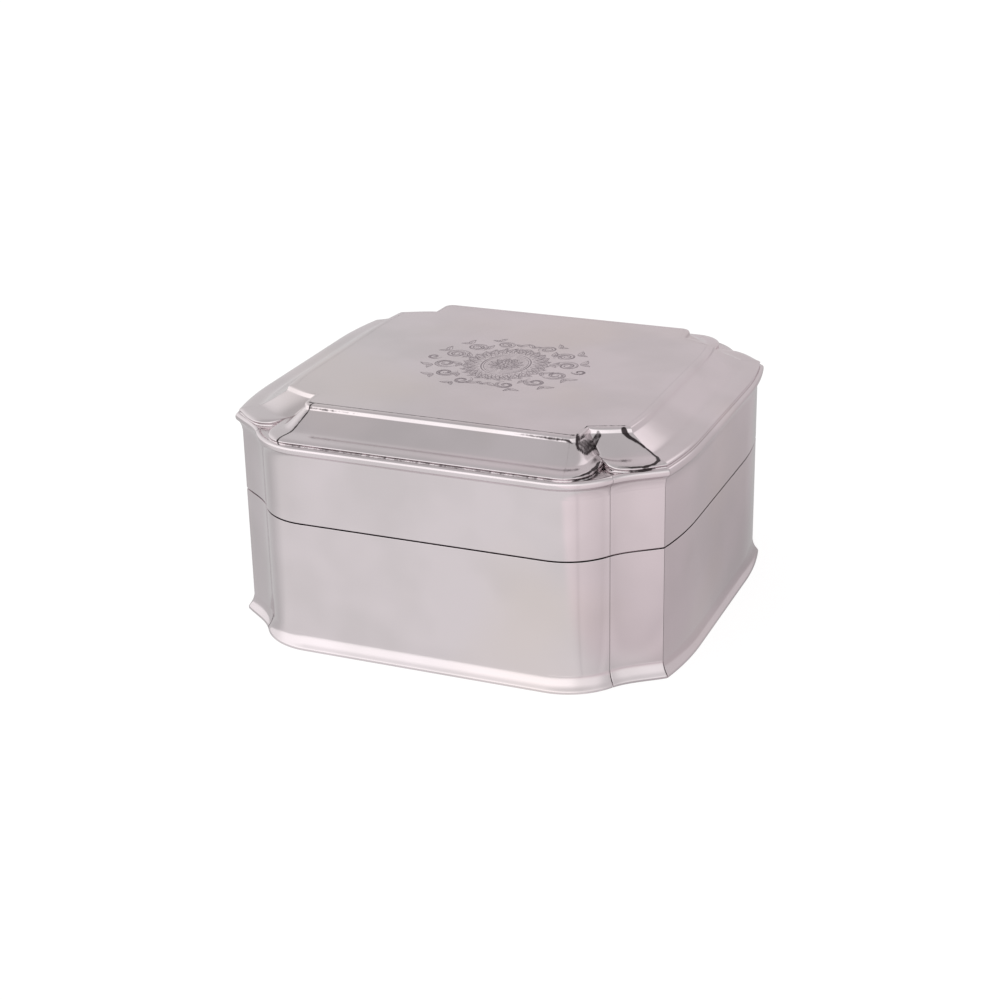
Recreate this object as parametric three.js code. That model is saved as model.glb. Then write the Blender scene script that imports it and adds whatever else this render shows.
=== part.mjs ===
// Trinket box of polished silver: a flared foot, an upright body with canted corners set back
// behind rounded shoulders, and a deep pull-off lid with a moulded border round a flat panel.
// Millimetres, +Z up, front towards -Y. The origin is under the middle of the foot.
import * as THREE from 'three';

// Plan of the walls, at their outer faces
const body_width = 101;
const body_depth = 97.5;
const shoulder_radius = 13.5;
const shoulder_turn_deg = 56.5;
const notch_set_in = 10.9;
const notch_set_back = 6.7;
const facet_heading_deg = 40.5;
const side_bow_radius = 76;
const side_bow_run = 30.9;

// Plan of the moulded border, whose notches are cut deeper than the walls' below them, at its
// outer edge and at the flat panel. Its canted corner swells towards the outer edge, and its mitre
// stands a little way round the shoulder.
const border_shoulder_radius = 6.5;
const border_shoulder_turn_deg = 88;
const border_notch_set_in = 13.7;
const border_notch_set_back = 10.75;
const panel_shoulder_radius = 1.5;
const panel_shoulder_turn_deg = 87;
const panel_notch_set_in = 19.8;
const panel_notch_set_back = 17.5;
const border_swell = 3.3;
const mitre_share = 0.2;

// Heights, from the surface that the box stands on up to the flat panel
const foot_height = 3.6;
const seam_height = 29.4;
const lid_wall_rise = 17.2;
const border_rise = 6.2;

// Sheet, wire and clearances
const wall_gauge = 1.2;
const base_gauge = 1.2;
const base_recess = 0.8;
const panel_gauge = 1.2;
const border_gauge = 1.5;
const bezel_gauge = 0.8;
const bezel_rise = 6.2;
const bezel_reach = 9;
const seam_gap = 0.3;
const joint_gap = 0.3;
const fit_gap = 0.25;
const solder_film = 0.05;

// Mouldings: how far each stands out from the wall, or runs in over the lid
const foot_flare = 1.4;
const rim_overhang = 1.3;
const rim_height = 4.05;
const rim_lap = 0.35;
const border_set_out = 0.6;
const border_run = 12.1;
const border_flange = 0.4;
const border_seat = 2.2;

// Sections of the mouldings as shares of their own reach and height, drawn by hand
const foot_section_shares = [
  [0.98, 0.0],
  [1.0, 0.05],
  [1.0, 0.14],
  [0.9, 0.23],
  [0.68, 0.36],
  [0.43, 0.53],
  [0.22, 0.73],
  [0.06, 1.0],
];
const rim_section_shares = [
  [0.03, 0.0],
  [0.08, 0.17],
  [0.2, 0.33],
  [0.42, 0.5],
  [0.72, 0.64],
  [0.94, 0.72],
  [1.0, 0.8],
  [1.0, 0.89],
  [0.93, 0.96],
  [0.78, 1.0],
];
const border_section_shares = [
  [0.029, 0.081],
  [0.025, 0.145],
  [0.012, 0.194],
  [0.021, 0.219],
  [0.041, 0.252],
  [0.074, 0.277],
  [0.149, 0.298],
  [0.322, 0.318],
  [0.413, 0.358],
  [0.496, 0.423],
  [0.669, 0.61],
  [0.818, 0.777],
  [0.86, 0.839],
  [0.88, 0.903],
  [0.901, 0.976],
  [0.942, 0.997],
  [1.0, 1.0],
];

// Stations along the border's canted corner, and the share of the swell at each
const swell_shares = [
  [0.0, 0.0],
  [0.06, 0.47],
  [0.12, 0.7],
  [0.2, 0.88],
  [0.35, 1.0],
  [0.5, 0.91],
  [0.65, 0.69],
  [0.8, 0.38],
  [0.9, 0.17],
  [1.0, 0.0],
];

// How finely the curves are drawn
const shoulder_steps = 6;
const bow_steps = 4;

const silver = { color: 0xc8bfc2, roughness: 0.22, metalness: 1.0 };

const half_width = body_width / 2;
const half_depth = body_depth / 2;
const lid_wall_top = seam_height + lid_wall_rise;
const panel_top = lid_wall_top + border_rise;
const shoulder_turn = THREE.MathUtils.degToRad(shoulder_turn_deg);
const facet_heading = THREE.MathUtils.degToRad(facet_heading_deg);
const border_shoulder_turn = THREE.MathUtils.degToRad(border_shoulder_turn_deg);
const panel_shoulder_turn = THREE.MathUtils.degToRad(panel_shoulder_turn_deg);

// Plan geometry of the front right quarter. A heading is the way the outline runs, going round the
// box anticlockwise, and an offset is measured outwards from the wall's outer face.
function along(heading) {
  return new THREE.Vector2(Math.cos(heading), Math.sin(heading));
}

function outwards(heading) {
  return new THREE.Vector2(Math.sin(heading), -Math.cos(heading));
}

function meet(point, heading, other_point, other_heading) {
  const ray = along(heading);
  const other_ray = along(other_heading);
  const gap = other_point.clone().sub(point);
  const share = gap.cross(other_ray) / ray.cross(other_ray);
  return point.clone().addScaledVector(ray, share);
}

function shifted(point, heading, offset) {
  return point.clone().addScaledVector(outwards(heading), offset);
}

const front_line = new THREE.Vector2(0, -half_depth);
const notch = new THREE.Vector2(half_width - notch_set_in, notch_set_back - half_depth);
const bow_centre = new THREE.Vector2(half_width - side_bow_radius, side_bow_run - half_depth);

// The re-entrant notch between the rounded shoulder and the canted corner
function wallNotch(offset) {
  const shoulder_point = shifted(notch, shoulder_turn, offset);
  const facet_point = shifted(notch, facet_heading, offset);
  return meet(shoulder_point, shoulder_turn, facet_point, facet_heading);
}

// The share of the way in from the border's outer edge to the flat panel
function wayIn(offset) {
  return (border_set_out - offset) / border_run;
}

function borderNotch(offset) {
  const outer = new THREE.Vector2(half_width - border_notch_set_in, border_notch_set_back - half_depth);
  const inner = new THREE.Vector2(half_width - panel_notch_set_in, panel_notch_set_back - half_depth);
  return outer.lerp(inner, wayIn(offset));
}

// A plan gives, at any offset, its notch, the radius and turn of the shoulder before it, and the
// swell of the canted corner after it
const { lerp } = THREE.MathUtils;
const wall_plan = {
  notchAt: wallNotch,
  radiusAt: (offset) => shoulder_radius + offset,
  turnAt: () => shoulder_turn,
  swellAt: () => 0,
};
const border_plan = {
  notchAt: borderNotch,
  radiusAt: (offset) => lerp(border_shoulder_radius, panel_shoulder_radius, wayIn(offset)),
  turnAt: (offset) => lerp(border_shoulder_turn, panel_shoulder_turn, wayIn(offset)),
  swellAt: (offset) => lerp(border_swell, 0, Math.min(wayIn(offset), 1)),
};

// Where the canted corner meets the slightly bowed side, and the side's heading there
function sideStart(offset) {
  const radius = side_bow_radius + offset;
  const from_centre = shifted(notch, facet_heading, offset).sub(bow_centre);
  const ray = along(facet_heading);
  const forward = from_centre.dot(ray);
  const reach = Math.sqrt(forward * forward - from_centre.lengthSq() + radius * radius) - forward;
  const point = shifted(notch, facet_heading, offset).addScaledVector(ray, reach);
  const from_bow = point.clone().sub(bow_centre);
  return { point, angle: Math.atan2(from_bow.y, from_bow.x), radius };
}

// The part of the rounded shoulder between two shares of its turn
function shoulderArc(offset, plan, first_share, last_share) {
  const radius = plan.radiusAt(offset);
  const turn = plan.turnAt(offset);
  const line_point = shifted(front_line, 0, offset - radius);
  const tail_point = shifted(plan.notchAt(offset), turn, -radius);
  const centre = meet(line_point, 0, tail_point, turn);
  const points = [];
  for (let step = 0; step <= shoulder_steps; step += 1) {
    const heading = turn * lerp(first_share, last_share, step / shoulder_steps);
    points.push(centre.clone().addScaledVector(outwards(heading), radius));
  }
  return points;
}

// Half a joint as a share of the shoulder's turn
function halfJointShare(offset, plan) {
  return joint_gap / 2 / (plan.radiusAt(offset) * plan.turnAt(offset));
}

function bothHalves(right_half) {
  const left_half = right_half.map((point) => new THREE.Vector2(-point.x, point.y)).reverse();
  return [...left_half, ...right_half];
}

// Each path runs anticlockwise from one joint to the next at the given offset
function frontPath(offset, plan) {
  const end = plan.notchAt(offset).addScaledVector(along(plan.turnAt(offset)), -joint_gap / 2);
  return bothHalves([...shoulderArc(offset, plan, 0, 1), end]);
}

function cornerPath(offset, plan) {
  const start = plan.notchAt(offset);
  const end = sideStart(offset).point;
  const ray = end.clone().sub(start).normalize();
  return [start.addScaledVector(ray, joint_gap / 2), end.addScaledVector(ray, -joint_gap / 2)];
}

// The border's front ends at a mitre in the shoulder, and its corner takes in the rest
function mitredFrontPath(offset, plan) {
  return bothHalves(shoulderArc(offset, plan, 0, mitre_share - halfJointShare(offset, plan)));
}

function mitredCornerPath(offset, plan) {
  const shoulder = shoulderArc(offset, plan, mitre_share + halfJointShare(offset, plan), 1);
  const start = plan.notchAt(offset);
  const side_start = sideStart(offset).point;
  const ray = side_start.clone().sub(start).normalize();
  const end = side_start.addScaledVector(ray, -joint_gap / 2);
  const swell = new THREE.Vector2(ray.y, -ray.x).multiplyScalar(plan.swellAt(offset));
  const facet = swell_shares.map(([station, share]) =>
    start.clone().lerp(end, station).addScaledVector(swell, share),
  );
  return [...shoulder, ...facet];
}

function sidePath(offset) {
  const { angle, radius } = sideStart(offset);
  const first = angle + joint_gap / 2 / radius;
  const front_half = [];
  for (let step = 0; step <= bow_steps; step += 1) {
    const turn = first * (1 - step / bow_steps);
    front_half.push(bow_centre.clone().addScaledVector(along(turn), radius));
  }
  const back_half = front_half.map((point) => new THREE.Vector2(point.x, -point.y)).reverse();
  return [...front_half, ...back_half];
}

// The whole outline as one closed loop, for pieces that run all the way round
function wholeOutline(offset, plan) {
  const side_points = sidePath(offset).slice(1, bow_steps + 1);
  const corner_points = [plan.notchAt(offset), sideStart(offset).point];
  const quarter = [...shoulderArc(offset, plan, 0, 1), ...corner_points, ...side_points];
  const mirrored = (sign_x, sign_y) =>
    quarter.map((point) => new THREE.Vector2(sign_x * point.x, sign_y * point.y));
  return [
    ...quarter,
    ...mirrored(1, -1).reverse(),
    ...mirrored(-1, -1),
    ...mirrored(-1, 1).reverse(),
  ];
}

// A path carried to another side of the box by mirroring, still running anticlockwise
function mirrorPath(path, sign_x, sign_y) {
  return (offset, plan) => {
    const mirrored = path(offset, plan).map(({ x, y }) => new THREE.Vector2(sign_x * x, sign_y * y));
    return sign_x * sign_y < 0 ? mirrored.reverse() : mirrored;
  };
}

// The eight lengths round the box: how each is mirrored, its path, and its path in the border
const front_paths = [frontPath, mitredFrontPath];
const corner_paths = [cornerPath, mitredCornerPath];
const side_paths = [sidePath, sidePath];
const lengths = [
  { place: 'front', paths: front_paths, signs: [1, 1] },
  { place: 'back', paths: front_paths, signs: [1, -1] },
  { place: 'right', paths: side_paths, signs: [1, 1] },
  { place: 'left', paths: side_paths, signs: [-1, 1] },
  { place: 'corner_front_right', paths: corner_paths, signs: [1, 1] },
  { place: 'corner_front_left', paths: corner_paths, signs: [-1, 1] },
  { place: 'corner_back_right', paths: corner_paths, signs: [1, -1] },
  { place: 'corner_back_left', paths: corner_paths, signs: [-1, -1] },
];

function meshOf(name, geometry) {
  const mesh = new THREE.Mesh(geometry, new THREE.MeshStandardMaterial(silver));
  mesh.name = name;
  return mesh;
}

// Upright sheet between two offsets of a path
function sheetWall(path, outer, inner, bottom, top) {
  const outline = [...path(outer, wall_plan), ...path(inner, wall_plan).reverse()];
  const geometry = new THREE.ExtrudeGeometry(new THREE.Shape(outline), {
    depth: top - bottom,
    bevelEnabled: false,
  });
  return geometry.translate(0, 0, bottom);
}

// A moulding length: a closed section of [offset, height, plan] points carried along a path
function mouldingLength(path, section) {
  const rings = section.map(([offset, height, plan]) =>
    path(offset, plan).map((point) => [point.x, point.y, height]),
  );
  const count = rings.length;
  const stations = rings[0].length;
  const positions = [];
  for (let station = 0; station < stations; station += 1) {
    for (const ring of rings) {
      positions.push(...ring[station]);
    }
  }
  const faces = [];
  for (let station = 0; station < stations - 1; station += 1) {
    for (let index = 0; index < count; index += 1) {
      const next = (index + 1) % count;
      const here = station * count;
      const ahead = here + count;
      faces.push(here + index, ahead + index, ahead + next);
      faces.push(here + index, ahead + next, here + next);
    }
  }
  const flat_section = section.map(([offset, height]) => new THREE.Vector2(offset, height));
  const last = (stations - 1) * count;
  for (const [a, b, c] of THREE.ShapeUtils.triangulateShape(flat_section, [])) {
    faces.push(a, b, c);
    faces.push(last + a, last + c, last + b);
  }
  const geometry = new THREE.BufferGeometry();
  geometry.setAttribute('position', new THREE.Float32BufferAttribute(positions, 3));
  geometry.setIndex(faces);
  geometry.computeVertexNormals();
  return geometry;
}

function plate(outline, bottom, gauge, hole) {
  const shape = new THREE.Shape(outline);
  if (hole) {
    shape.holes.push(new THREE.Path(hole));
  }
  const geometry = new THREE.ExtrudeGeometry(shape, { depth: gauge, bevelEnabled: false });
  return geometry.translate(0, 0, bottom);
}

// Foot moulding: flared wire standing on the table, soldered round the foot of the walls
function footSection() {
  const outer = foot_section_shares.map(([reach, rise]) => [
    solder_film + reach * (foot_flare - solder_film),
    rise * foot_height,
    wall_plan,
  ]);
  return [...outer, [solder_film, foot_height, wall_plan], [solder_film, 0, wall_plan]];
}

// Rim moulding: a small cove and a rounded edge standing out from the top of the lid walls
function rimSection() {
  const top = lid_wall_top + rim_lap;
  const outer = rim_section_shares.map(([reach, rise]) => [
    solder_film + reach * (rim_overhang - solder_film),
    top - rim_height * (1 - rise),
    wall_plan,
  ]);
  return [...outer, [solder_film, top, wall_plan], [solder_film, top - rim_height, wall_plan]];
}

// Lid border: a flat flange on the lid walls, then a rounded edge and a long hollow that rises to a
// small roll at the flat panel
function borderSection() {
  const flange = [
    [0, lid_wall_top, wall_plan],
    [0, lid_wall_top + border_flange, wall_plan],
  ];
  const top = border_section_shares.map(([run, height]) => [
    border_set_out - run * border_run,
    lid_wall_top + height * border_rise,
    border_plan,
  ]);
  const under = top
    .filter(([offset]) => offset < -border_seat)
    .map(([offset, height]) => [offset, height - border_gauge, border_plan])
    .reverse();
  const seat = [
    [-border_seat, lid_wall_top, border_plan],
    [-wall_gauge, lid_wall_top, wall_plan],
  ];
  return [...flange, ...top, ...under, ...seat];
}

const box = new THREE.Group();
const lid = new THREE.Group();
box.add(lid);

const wall_inside = -wall_gauge;
const base_outline = wholeOutline(wall_inside - solder_film, wall_plan);
box.add(meshOf('base_plate', plate(base_outline, base_recess, base_gauge)));

for (const { place, paths, signs } of lengths) {
  const [path, border_path] = paths.map((drawn) => mirrorPath(drawn, ...signs));
  const body_wall = sheetWall(path, 0, wall_inside, base_recess, seam_height - seam_gap / 2);
  box.add(meshOf(`body_${place}`, body_wall));
  box.add(meshOf(`foot_${place}`, mouldingLength(path, footSection())));
  const lid_wall = sheetWall(path, 0, wall_inside, seam_height + seam_gap / 2, lid_wall_top);
  lid.add(meshOf(`lid_${place}`, lid_wall));
  lid.add(meshOf(`rim_${place}`, mouldingLength(path, rimSection())));
  lid.add(meshOf(`border_${place}`, mouldingLength(border_path, borderSection())));
}

const bezel_outer = wholeOutline(wall_inside - fit_gap, wall_plan);
const bezel_inner = wholeOutline(wall_inside - fit_gap - bezel_gauge, wall_plan);
const bezel_bottom = seam_height - bezel_reach;
box.add(meshOf('bezel', plate(bezel_outer, bezel_bottom, bezel_reach + bezel_rise, bezel_inner)));

const panel_outline = wholeOutline(border_set_out - border_run - joint_gap, border_plan);
lid.add(meshOf('lid_panel', plate(panel_outline, panel_top - panel_gauge, panel_gauge)));

export default box;
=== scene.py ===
"""Looks of the silver trinket box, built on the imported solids.

Lengths are written in millimetres and turned to metres where a mesh is made. The box stands at the
origin with its front towards -Y.
"""

from __future__ import annotations

import logging
import math
from dataclasses import dataclass, field
from enum import Enum
from functools import partial
from typing import Callable, Sequence

import bmesh
import bpy
from mathutils import Matrix, Vector

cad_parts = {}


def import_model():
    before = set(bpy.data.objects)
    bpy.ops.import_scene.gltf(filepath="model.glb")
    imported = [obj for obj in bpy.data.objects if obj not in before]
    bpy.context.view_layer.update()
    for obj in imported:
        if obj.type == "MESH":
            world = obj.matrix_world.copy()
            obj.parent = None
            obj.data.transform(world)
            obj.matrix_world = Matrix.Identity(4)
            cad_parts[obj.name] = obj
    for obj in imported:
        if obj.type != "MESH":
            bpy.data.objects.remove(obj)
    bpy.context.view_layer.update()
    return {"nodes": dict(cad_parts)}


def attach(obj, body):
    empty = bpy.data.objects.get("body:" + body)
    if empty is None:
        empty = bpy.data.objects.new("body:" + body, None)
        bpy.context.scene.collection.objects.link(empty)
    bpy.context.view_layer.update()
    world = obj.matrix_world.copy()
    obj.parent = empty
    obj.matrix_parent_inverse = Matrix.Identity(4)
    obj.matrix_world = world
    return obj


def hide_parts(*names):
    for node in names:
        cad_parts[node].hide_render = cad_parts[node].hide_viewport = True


LOG = logging.getLogger("trinket_box")
MM = 0.001
# The angle above which an edge counts as hard
CREASE = math.radians(32.0)

Piece = bpy.types.Object
Finish = bpy.types.Material
Point = tuple[float, float]
Shares = tuple[float, ...]
Section = list[Point]
Path = list[Vector]
Stroke = Sequence[tuple[float, float, float]]
Stops = list[tuple[float, float, "Plan"]]
Levels = tuple[tuple[float, float], ...]
Triple = tuple[float, float, float]
Colour = tuple[float, float, float, float]
Source = bpy.types.Node | bpy.types.NodeSocket
Adder = Callable[..., bpy.types.Node]

SMOOTH = {"interpolation_type": "SMOOTHSTEP"}
WHITE = (1.0, 1.0, 1.0, 1.0)


def linear(hex_colour: str) -> Colour:
    """Turns an sRGB hex colour to the linear values that shaders read.

    Args:
        hex_colour: The colour as "#RRGGBB".

    Returns:
        Linear red, green and blue, and an alpha of 1.
    """
    channels = [int(hex_colour[start:start + 2], 16) / 255 for start in (1, 3, 5)]
    values = [c / 12.92 if c <= 0.04045 else ((c + 0.055) / 1.055) ** 2.4 for c in channels]
    return values[0], values[1], values[2], 1.0


def add_node(tree: bpy.types.NodeTree, kind: str, settings: dict | None = None,
             links: dict[str | int, Source] | None = None) -> bpy.types.Node:
    """Adds a node to a tree, with its settings and the links into it.

    Args:
        tree: The node tree.
        kind: The node's bl_idname, less its "ShaderNode".
        settings: Values by property name, or by input name or index.
        links: What feeds each input, by its name or index: an output, or a node for its first output.

    Returns:
        The new node.
    """
    node = tree.nodes.new("ShaderNode" + kind)
    for key, value in (settings or {}).items():
        if isinstance(key, str) and hasattr(node, key):
            setattr(node, key, value)
        else:
            node.inputs[key].default_value = value
    for key, source in (links or {}).items():
        output = source.outputs[0] if isinstance(source, bpy.types.Node) else source
        tree.links.new(output, node.inputs[key])
    return node


def start_tree(owner: Finish | bpy.types.World) -> Adder:
    """Empties the node tree of a material or a world.

    Args:
        owner: The material or the world.

    Returns:
        The function that adds a node to that tree.
    """
    owner.use_nodes = True
    owner.node_tree.nodes.clear()
    return partial(add_node, owner.node_tree)


def set_ramp(node: bpy.types.Node, stops: Sequence[tuple[float, str | float]]) -> None:
    """Gives a Color Ramp node its stops.

    Args:
        node: The Color Ramp node.
        stops: Positions from 0 to 1, each with an sRGB hex colour or a linear grey level.
    """
    elements = node.color_ramp.elements
    while len(elements) < len(stops):
        elements.new(0.5)
    for element, (position, value) in zip(elements, stops):
        element.position = position
        element.color = linear(value) if isinstance(value, str) else (value, value, value, 1.0)


def smooth_run(points: Sequence[Point], steps: int) -> Section:
    """Draws a smooth curve through the given points of a section.

    Args:
        points: The points, each an offset and a height.
        steps: How many pieces each span is cut into.

    Returns:
        The points of the curve, both ends included.
    """
    padded = [points[0], *points, points[-1]]
    curve: Section = []
    for index in range(1, len(padded) - 2):
        before, start, end, after = (Vector(padded[index + shift]) for shift in (-1, 0, 1, 2))
        for step in range(steps):
            t = step / steps
            point = 0.5 * (
                2 * start
                + (end - before) * t
                + (2 * before - 5 * start + 4 * end - after) * t * t
                + (3 * start - before - 3 * end + after) * t * t * t
            )
            curve.append((point.x, point.y))
    curve.append(tuple(points[-1]))
    return curve


def mirrored(path: Path, sign_x: int, sign_y: int) -> Path:
    """Returns a path mirrored in x, in y or in both, and still running anticlockwise."""
    points = [Vector((sign_x * point.x, sign_y * point.y)) for point in path]
    return points[::-1] if sign_x * sign_y < 0 else points


@dataclass(frozen=True)
class Plan:
    """Plan of the walls at their outer faces, drawn for the front right quarter.

    A heading is the way the outline runs, going round the box anticlockwise. An offset is measured
    outwards from the wall's outer face.
    """

    width: float = 101.0
    depth: float = 97.5
    shoulder_radius: float = 13.5
    shoulder_turn: float = math.radians(56.5)
    notch_set_in: float = 10.9
    notch_set_back: float = 6.7
    facet_heading: float = math.radians(40.5)
    facet_hollow: float = 3.0
    bow_radius: float = 76.0
    bow_run: float = 30.9
    mitre_share: float = 0.2
    shoulder_shares: Shares = tuple(step / 20 for step in range(21))
    before_mitre: Shares = (0.0, 0.3, 0.55, 0.75, 0.9, 1.0)
    after_mitre: Shares = (
        0.0, 0.02, 0.05, 0.1, 0.16, 0.24, 0.33, 0.42, 0.52, 0.62, 0.72, 0.82, 0.91, 1.0)
    straight_stations: Shares = (22.0, 14.0, 8.0, 4.0, 2.0, 1.0, 0.5)
    tail_shares: Shares = (0.15, 0.3, 0.45, 0.6, 0.74, 0.87)
    facet_shares: Shares = tuple(step / 40 for step in range(41))
    bow_shares: Shares = (
        0.0, 0.008, 0.018, 0.03, 0.045, 0.07, 0.1, 0.15, 0.2, 0.3, 0.4, 0.5, 0.6, 0.7, 0.8, 0.9, 1.0)

    @staticmethod
    def along(heading: float) -> Vector:
        """Returns the unit vector of a heading."""
        return Vector((math.cos(heading), math.sin(heading)))

    @staticmethod
    def outwards(heading: float) -> Vector:
        """Returns the unit vector that points out of the box from a heading."""
        return Vector((math.sin(heading), -math.cos(heading)))

    def meet(self, point: Vector, heading: float, other: Vector, other_heading: float) -> Vector:
        """Finds where two lines cross.

        Args:
            point: A point of the first line.
            heading: The heading of the first line.
            other: A point of the second line.
            other_heading: The heading of the second line.

        Returns:
            The crossing point.
        """
        ray = self.along(heading)
        other_ray = self.along(other_heading)
        gap = other - point
        share = gap.cross(other_ray) / ray.cross(other_ray)
        return point + ray * share

    @property
    def notch(self) -> Vector:
        """Returns the re-entrant corner at the wall's outer face."""
        return Vector((self.width / 2 - self.notch_set_in, self.notch_set_back - self.depth / 2))

    @property
    def bow_centre(self) -> Vector:
        """Returns the centre of the slight bow of the side."""
        return Vector((self.width / 2 - self.bow_radius, self.bow_run - self.depth / 2))

    def notch_at(self, offset: float) -> Vector:
        """Returns the notch at an offset."""
        headings = (self.shoulder_turn, self.facet_heading)
        ends = [self.notch + self.outwards(heading) * offset for heading in headings]
        return self.meet(ends[0], headings[0], ends[1], headings[1])

    def radius_at(self, offset: float) -> float:
        """Returns the radius of the rounded shoulder at an offset."""
        return self.shoulder_radius + offset

    def turn_at(self, offset: float) -> float:
        """Returns how far the rounded shoulder turns, which is the same at every offset."""
        return self.shoulder_turn

    def side_start(self, offset: float) -> Vector:
        """Finds where the canted corner meets the bowed side.

        Args:
            offset: How far out from the wall's outer face.

        Returns:
            The point.
        """
        radius = self.bow_radius + offset
        start = self.notch + self.outwards(self.facet_heading) * offset
        ray = self.along(self.facet_heading)
        from_centre = start - self.bow_centre
        forward = from_centre.dot(ray)
        reach = math.sqrt(forward * forward - from_centre.length_squared + radius * radius) - forward
        return start + ray * reach

    def shoulder(self, offset: float, shares: Sequence[float], first: float, last: float) -> Path:
        """Draws a part of the rounded shoulder.

        Args:
            offset: How far out from the wall's outer face.
            shares: Where the points stand, as shares of that part.
            first: Where the part begins, as a share of the whole turn.
            last: Where it ends.

        Returns:
            The points.
        """
        radius = self.radius_at(offset)
        turn = self.turn_at(offset)
        line_point = Vector((0.0, -self.depth / 2)) + self.outwards(0.0) * (offset - radius)
        tail_point = self.notch_at(offset) - self.outwards(turn) * radius
        centre = self.meet(line_point, 0.0, tail_point, turn)
        return [
            centre + self.outwards(turn * (first + (last - first) * share)) * radius
            for share in shares
        ]

    def hollow(self, offset: float, share: float) -> float:
        """Returns how far the canted corner is hollowed at a share of its length, at every offset."""
        return self.facet_hollow * share * (1 - share) ** 2

    def facet(self, offset: float, start: Vector, end: Vector) -> Path:
        """Returns the points of the canted corner between two points at an offset."""
        inwards = Vector((start.y - end.y, end.x - start.x)).normalized()
        return [
            start.lerp(end, share) + inwards * self.hollow(offset, share)
            for share in self.facet_shares
        ]

    def side_path(self, offset: float, gap: float) -> Path:
        """Draws the bowed side, less half a joint gap at each end.

        Args:
            offset: How far out from the wall's outer face.
            gap: The joint gap between two lengths.

        Returns:
            The points, with as many before the middle as after it.
        """
        radius = self.bow_radius + offset
        from_bow = self.side_start(offset) - self.bow_centre
        first = math.atan2(from_bow.y, from_bow.x) + gap / 2 / radius
        front_half = [
            self.bow_centre + self.along(first * (1 - share)) * radius for share in self.bow_shares
        ]
        return [*front_half, *mirrored(front_half, 1, -1)]

    def length(self, kind: str, offset: float, gap: float, mitred: bool) -> Path:
        """Draws one length of the outline, less half a joint gap at each end.

        Args:
            kind: Which length: "front", "corner" or "side".
            offset: How far out from the wall's outer face.
            gap: The joint gap between two lengths.
            mitred: Whether front and corner meet at a mitre in the shoulder, not in the notch.

        Returns:
            The points, anticlockwise.
        """
        if kind == "side":
            return self.side_path(offset, gap)
        notch, facet_end = self.notch_at(offset), self.side_start(offset)
        half_turn = gap / 2 / (self.radius_at(offset) * self.turn_at(offset))
        ray = (facet_end - notch).normalized() * (gap / 2)
        if kind == "corner" and mitred:
            shoulder = self.shoulder(offset, self.after_mitre, self.mitre_share + half_turn, 1.0)
            tail = [shoulder[-1].lerp(notch, share) for share in self.tail_shares]
            return [*shoulder, *tail, *self.facet(offset, notch, facet_end - ray)]
        if kind == "corner":
            return self.facet(offset, notch + ray, facet_end - ray)
        if mitred:
            shoulder = self.shoulder(offset, self.before_mitre, 0.0, self.mitre_share - half_turn)
            straight = [shoulder[0] - Vector((reach, 0.0)) for reach in self.straight_stations]
            right_half = [*straight, *shoulder]
        else:
            end = notch - self.along(self.turn_at(offset)) * (gap / 2)
            right_half = [*self.shoulder(offset, self.shoulder_shares, 0.0, 1.0), end]
        return [*mirrored(right_half, -1, 1), *right_half]

    def whole(self, offset: float) -> Path:
        """Draws the whole outline as one closed loop.

        Args:
            offset: How far out from the wall's outer face.

        Returns:
            The points, anticlockwise.
        """
        quarter = [
            *self.shoulder(offset, self.shoulder_shares, 0.0, 1.0),
            self.notch_at(offset),
            *self.side_path(offset, 0.0)[:len(self.bow_shares)],
        ]
        right_half = [*quarter, *mirrored(quarter, 1, -1)]
        return [*right_half, *mirrored(right_half, -1, 1)]


@dataclass(frozen=True)
class BorderPlan(Plan):
    """Plan of the lid's moulded border, whose notches are cut deeper than the walls' below them."""

    outer: float = 0.6
    run: float = 12.1
    outer_radius: float = 6.5
    inner_radius: float = 1.5
    outer_turn: float = math.radians(88)
    inner_turn: float = math.radians(87)
    outer_notch: Point = (13.7, 10.75)
    inner_notch: Point = (19.8, 17.5)
    swell: float = 12.0

    def way_in(self, offset: float) -> float:
        """Returns the share of the way in from the border's outer edge to the flat panel."""
        return (self.outer - offset) / self.run

    def notch_at(self, offset: float) -> Vector:
        """Returns the notch at an offset."""
        set_in, set_back = Vector(self.outer_notch).lerp(Vector(self.inner_notch), self.way_in(offset))
        return Vector((self.width / 2 - set_in, set_back - self.depth / 2))

    def radius_at(self, offset: float) -> float:
        """Returns the radius of the rounded shoulder at an offset."""
        return self.outer_radius + (self.inner_radius - self.outer_radius) * self.way_in(offset)

    def turn_at(self, offset: float) -> float:
        """Returns how far the rounded shoulder turns at an offset."""
        return self.outer_turn + (self.inner_turn - self.outer_turn) * self.way_in(offset)

    def hollow(self, offset: float, share: float) -> float:
        """Returns how far the canted corner is hollowed: less than not at all, for it swells."""
        reach = max(1 - self.way_in(offset), 0.0)
        return -self.swell * reach * share ** 0.7 * (1 - share) ** 1.3


class Place(Enum):
    """The eight lengths round the box: the kind of path, and how it is mirrored in x and y."""

    FRONT = ("front", 1, 1)
    BACK = ("front", 1, -1)
    RIGHT = ("side", 1, 1)
    LEFT = ("side", -1, 1)
    CORNER_FRONT_RIGHT = ("corner", 1, 1)
    CORNER_FRONT_LEFT = ("corner", -1, 1)
    CORNER_BACK_RIGHT = ("corner", 1, -1)
    CORNER_BACK_LEFT = ("corner", -1, -1)

    def path(self, plan: Plan, offset: float, gap: float, mitred: bool) -> Path:
        """Returns this length's path: what Plan.length gives, in its own place."""
        kind, sign_x, sign_y = self.value
        return mirrored(plan.length(kind, offset, gap, mitred), sign_x, sign_y)


def start_piece(name: str) -> Piece:
    """Names the primitive that was just added, and returns it."""
    bpy.context.object.name = bpy.context.object.data.name = name
    return bpy.context.object


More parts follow.
